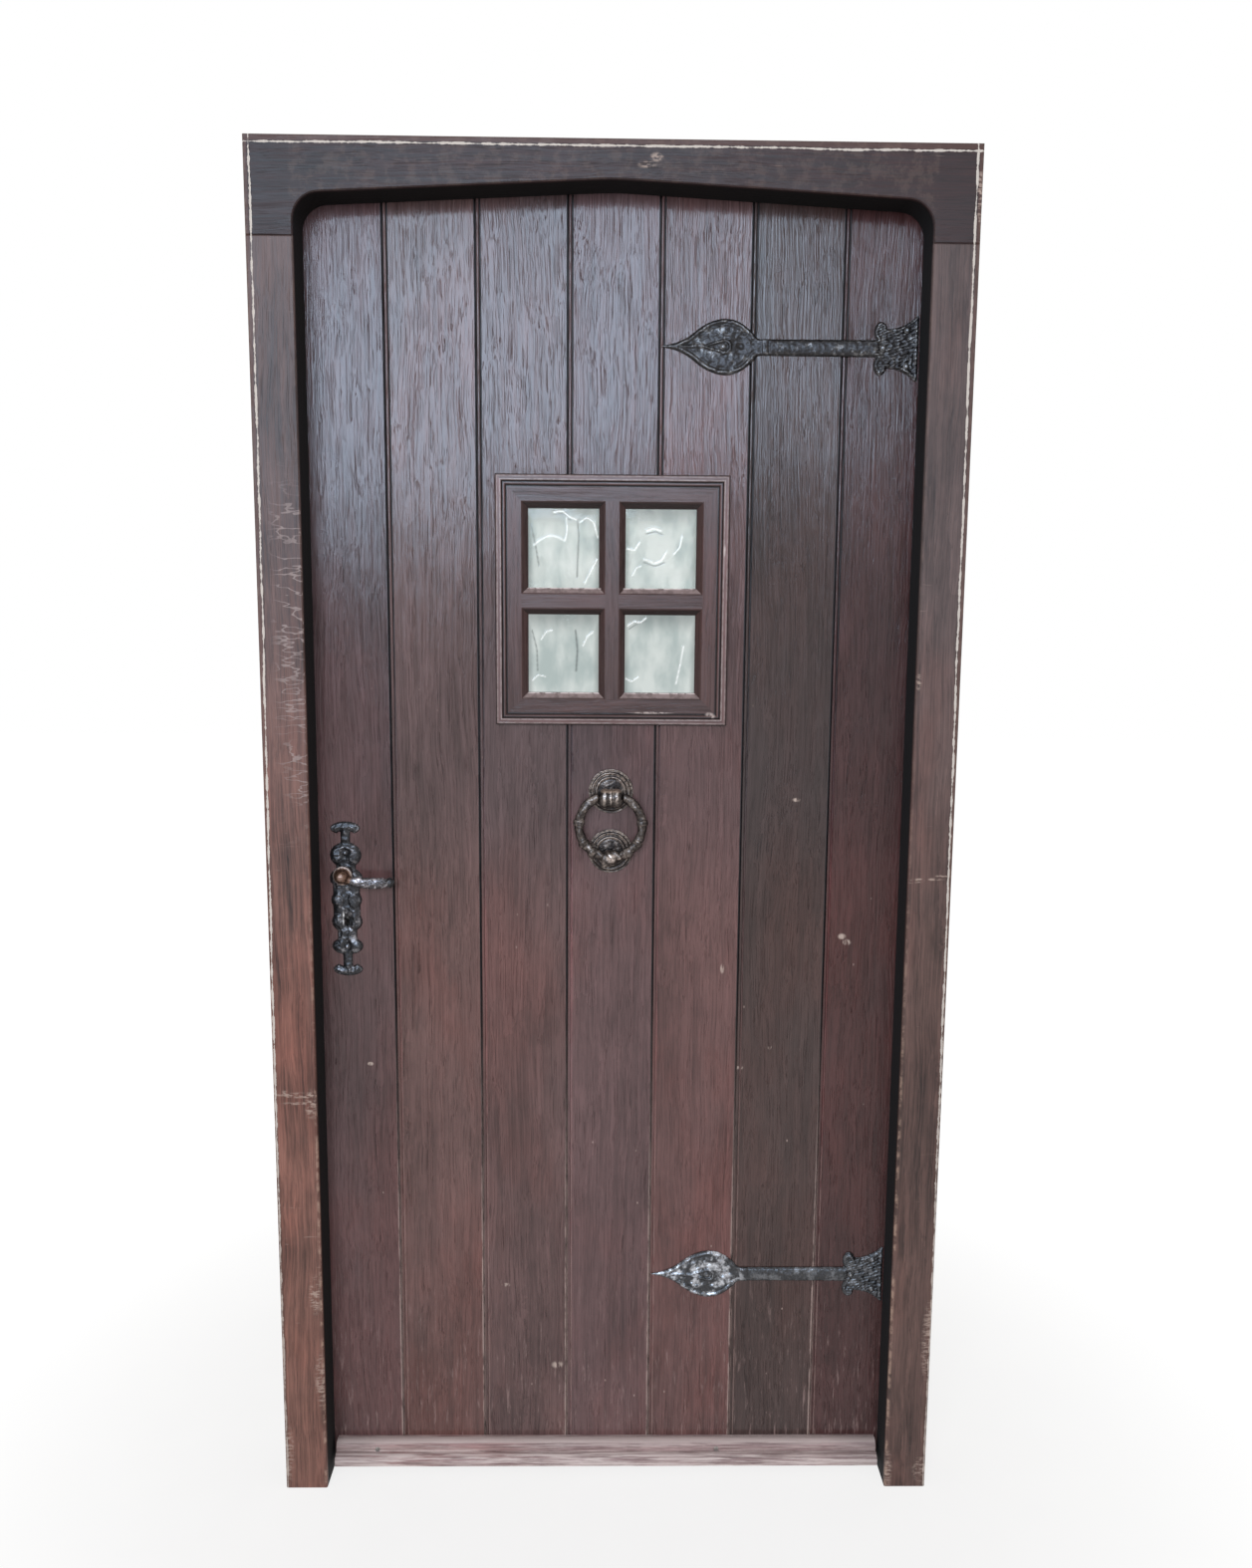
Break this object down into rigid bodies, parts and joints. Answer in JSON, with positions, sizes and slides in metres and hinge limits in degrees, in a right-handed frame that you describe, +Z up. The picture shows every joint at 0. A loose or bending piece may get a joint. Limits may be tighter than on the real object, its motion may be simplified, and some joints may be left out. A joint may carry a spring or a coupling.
{
  "type": "arched wooden door",
  "caption": "Boarded oak door under a low arch in its rebated frame, with a barred window, iron strap fronts, ring knocker and lever lock; the leaf opens inwards.",
  "frame": {"origin": "on the floor, in the middle of the overall width and depth", "axes": "+Z up; +X to the right seen from outside, towards the hinges; +Y from outside to inside"},
  "size_m": [1.02, 0.152, 2.03],
  "materials": {
    "oak_frame": "dark stained oak, satin",
    "oak_boards": "dark stained oak, satin",
    "oak_framing": "dark stained oak, satin",
    "oak_window": "dark stained oak, satin",
    "oak_weathered": "worn, weathered oak",
    "black_iron": "black, hammered, part worn",
    "knocker_iron": "black with bronze-brown worn high points",
    "steel": "plain steel",
    "glass": "clear, slightly wavy"
  },
  "bodies": {
    "frame": {"frame_head": "oak_frame", "jamb_lock_side": "oak_frame", "jamb_hinge_side": "oak_frame", "strike_plate": "steel", "hinge_top_jamb_flap": "steel", "hinge_middle_jamb_flap": "steel", "hinge_bottom_jamb_flap": "steel", "hinge_pins": "steel", "frame_screws": "steel"},
    "leaf": {"board_1": "oak_boards", "board_2": "oak_boards", "board_3": "oak_boards", "board_4_lower": "oak_boards", "board_4_upper": "oak_boards", "board_5": "oak_boards", "board_6": "oak_boards", "board_7": "oak_boards", "stile_lock_side": "oak_framing", "stile_hinge_side": "oak_framing", "top_rail": "oak_framing", "window_rail": "oak_framing", "lock_rail": "oak_framing", "bottom_rail": "oak_framing", "window_stud_left": "oak_framing", "window_stud_right": "oak_framing", "sash_bottom": "oak_window", "sash_left": "oak_window", "sash_top": "oak_window", "sash_right": "oak_window", "glazing_bar_upright": "oak_window", "glazing_bar_cross": "oak_window", "glazing_beads_upright": "oak_window", "glazing_beads_level": "oak_window", "window_moulding_bottom": "oak_window", "window_moulding_left": "oak_window", "window_moulding_top": "oak_window", "window_moulding_right": "oak_window", "window_glass": "glass", "weatherboard": "oak_weathered", "strap_upper": "black_iron", "strap_lower": "black_iron", "strap_nails": "black_iron", "handle_plate_outside": "black_iron", "handle_plate_inside": "black_iron", "handle_screws": "black_iron", "knocker_plate": "knocker_iron", "knocker_strike": "knocker_iron", "knocker_nuts": "knocker_iron", "lock_case": "steel", "leaf_screws": "steel", "hinge_top_leaf_flap": "steel", "hinge_middle_leaf_flap": "steel", "hinge_bottom_leaf_flap": "steel"},
    "handle": {"lever_outside": "black_iron", "lever_inside": "black_iron", "spindle": "steel", "follower": "steel"},
    "latch": {"latch_bolt": "steel"},
    "bolt": {"dead_bolt": "steel"},
    "knocker": {"knocker_ring": "knocker_iron"}
  },
  "joints": [
    {"name": "door_swing", "type": "hinge", "parent": "frame", "child": "leaf", "pos_m": [0.4585, 0.0385, 0], "axis": [0, 0, -1], "range_deg": [0, 100]},
    {"name": "handle_turn", "type": "hinge", "parent": "leaf", "child": "handle", "pos_m": [-0.405, 0.008, 0.98801], "axis": [0, 1, 0], "range_deg": [0, 40], "stiffness_Nm_per_rad": 1, "springref_deg": -22.92},
    {"name": "latch_slide", "type": "slide", "parent": "leaf", "child": "latch", "axis": [1, 0, 0], "range_m": [0, 0.012]},
    {"name": "dead_bolt_slide", "type": "slide", "parent": "leaf", "child": "bolt", "axis": [-1, 0, 0], "range_m": [0, 0.014]},
    {"name": "knocker_swing", "type": "hinge", "parent": "leaf", "child": "knocker", "pos_m": [0, -0.034, 1.10814], "axis": [-1, 0, 0], "range_deg": [0, 110]}
  ],
  "couplings": [
    {"joint": "latch_slide", "follows": "handle_turn", "m_per_rad": 0.017189}
  ]
}
